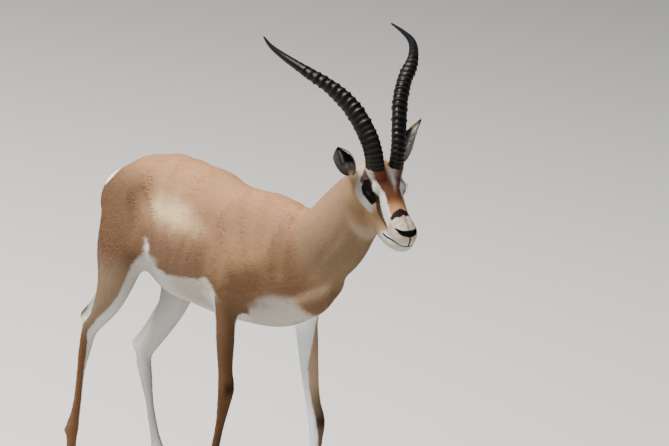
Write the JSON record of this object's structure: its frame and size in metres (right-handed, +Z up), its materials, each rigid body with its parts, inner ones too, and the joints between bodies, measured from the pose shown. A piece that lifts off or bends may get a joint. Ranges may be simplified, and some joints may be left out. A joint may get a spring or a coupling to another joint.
{
  "type": "grants gazelle",
  "caption": "Male Grant's gazelle in a short fawn and white coat, in mid stride with its head turned, with long ringed horns that sweep back and apart.",
  "frame": {"origin": "on the floor, under the middle of the whole animal's bounding box", "axes": "+X ahead of the chest, +Y to the animal's left, +Z up"},
  "size_m": [1.2058, 0.3883, 1.3438],
  "materials": {
    "coat": "short, close fawn hair with a white belly",
    "horn": "dark ringed horn, smoother at the tips",
    "eye": "wet gloss",
    "hoof": "dull horn"
  },
  "bodies": {
    "root": {"trunk": "coat", "neck": "coat", "head": "coat", "foreleg_left": "coat", "fore_cannon_left": "coat", "fore_foot_left": "coat", "gaskin_left": "coat", "hind_cannon_left": "coat", "hind_foot_left": "coat", "foreleg_right": "coat", "fore_cannon_right": "coat", "fore_foot_right": "coat", "gaskin_right": "coat", "hind_cannon_right": "coat", "hind_foot_right": "coat", "tail": "coat", "ear_left": "coat", "ear_right": "coat", "horn_left": "horn", "horn_right": "horn", "eye_left": "eye", "eye_right": "eye", "fore_claw_inner_left": "hoof", "fore_claw_inner_right": "hoof", "fore_claw_outer_left": "hoof", "fore_claw_outer_right": "hoof", "hind_claw_inner_left": "hoof", "hind_claw_inner_right": "hoof", "hind_claw_outer_left": "hoof", "hind_claw_outer_right": "hoof"}
  },
  "joints": []
}
